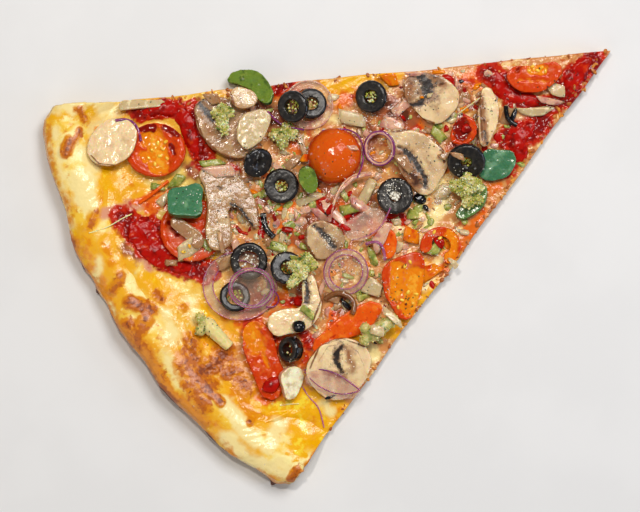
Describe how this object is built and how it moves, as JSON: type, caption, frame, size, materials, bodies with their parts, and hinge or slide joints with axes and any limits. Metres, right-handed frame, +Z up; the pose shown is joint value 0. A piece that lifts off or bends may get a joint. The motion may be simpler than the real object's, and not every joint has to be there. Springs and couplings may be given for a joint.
{
  "type": "pizza slice",
  "caption": "Triangular slice of thin-crust vegetable pizza with a raised baked rim, melted cheese, tomato sauce, olives, mushrooms, tomato, pepper, broccoli and onion.",
  "frame": {"origin": "centre of the bottom of the slice's box, on the flat underside", "axes": "+X along the slice's centre line from the rim to the tip, +Y across the slice towards the corner that is further from the tip, +Z up"},
  "size_m": [0.227, 0.1784, 0.0185],
  "materials": {
    "baked_dough": "baked wheat dough, pale gold with browned blisters, matt with oily spots",
    "melted_cheese": "melted cheese, cream to orange, soft and glossy with oil",
    "crushed_tomato": "cooked crushed tomato, deep red, wet",
    "black_olive": "ripe black olive, glossy skin and satin cut faces",
    "mushroom_flesh": "cooked mushroom, beige flesh with dark gills, moist",
    "ripe_tomato": "roasted tomato, orange-red, wet and glossy",
    "red_pepper": "cooked red pepper, moist",
    "green_pepper": "cooked green pepper with a shiny skin",
    "broccoli": "cooked broccoli, pale stalk and knobbly yellow-green buds",
    "red_onion": "thin translucent red onion with a violet edge",
    "garlic_flesh": "roasted garlic, cream and satin"
  },
  "bodies": {
    "root": {"broccoli_1": "broccoli", "broccoli_2": "broccoli", "broccoli_3": "broccoli", "broccoli_4": "broccoli", "broccoli_5": "broccoli", "broccoli_6": "broccoli", "cheese": "melted_cheese", "crust": "baked_dough", "garlic_clove": "garlic_flesh", "garlic_slice": "garlic_flesh", "green_pepper_bit": "green_pepper", "green_pepper_crescent": "green_pepper", "green_pepper_edge": "green_pepper", "green_pepper_left": "green_pepper", "green_pepper_side": "green_pepper", "mushroom_cap_slice": "mushroom_flesh", "mushroom_centre": "mushroom_flesh", "mushroom_chunk": "mushroom_flesh", "mushroom_left": "mushroom_flesh", "mushroom_lower": "mushroom_flesh", "mushroom_right": "mushroom_flesh", "mushroom_round": "mushroom_flesh", "mushroom_sliver": "mushroom_flesh", "mushroom_stem_slice": "mushroom_flesh", "mushroom_top": "mushroom_flesh", "mushroom_upper_left": "mushroom_flesh", "olive_end_1": "black_olive", "olive_ring_1": "black_olive", "olive_ring_10": "black_olive", "olive_ring_2": "black_olive", "olive_ring_3": "black_olive", "olive_ring_4": "black_olive", "olive_ring_5": "black_olive", "olive_ring_6": "black_olive", "olive_ring_7": "black_olive", "olive_ring_8": "black_olive", "olive_ring_9": "black_olive", "onion_leaf": "red_onion", "onion_petal": "red_onion", "onion_ring_inner": "red_onion", "onion_ring_right": "red_onion", "onion_ring_top": "red_onion", "onion_ring_violet": "red_onion", "onion_ring_wide": "red_onion", "onion_strand": "red_onion", "red_pepper_short": "red_pepper", "red_pepper_strip": "red_pepper", "sauce_band": "crushed_tomato", "sauce_left": "crushed_tomato", "sauce_side": "crushed_tomato", "sauce_tip": "crushed_tomato", "sauce_upper": "crushed_tomato", "tomato_bit": "ripe_tomato", "tomato_half": "ripe_tomato", "tomato_ring": "ripe_tomato", "tomato_slice_left": "ripe_tomato", "tomato_slice_low": "ripe_tomato", "tomato_slice_side": "ripe_tomato", "tomato_slice_under": "ripe_tomato", "tomato_wedge_tip": "ripe_tomato"}
  },
  "joints": []
}
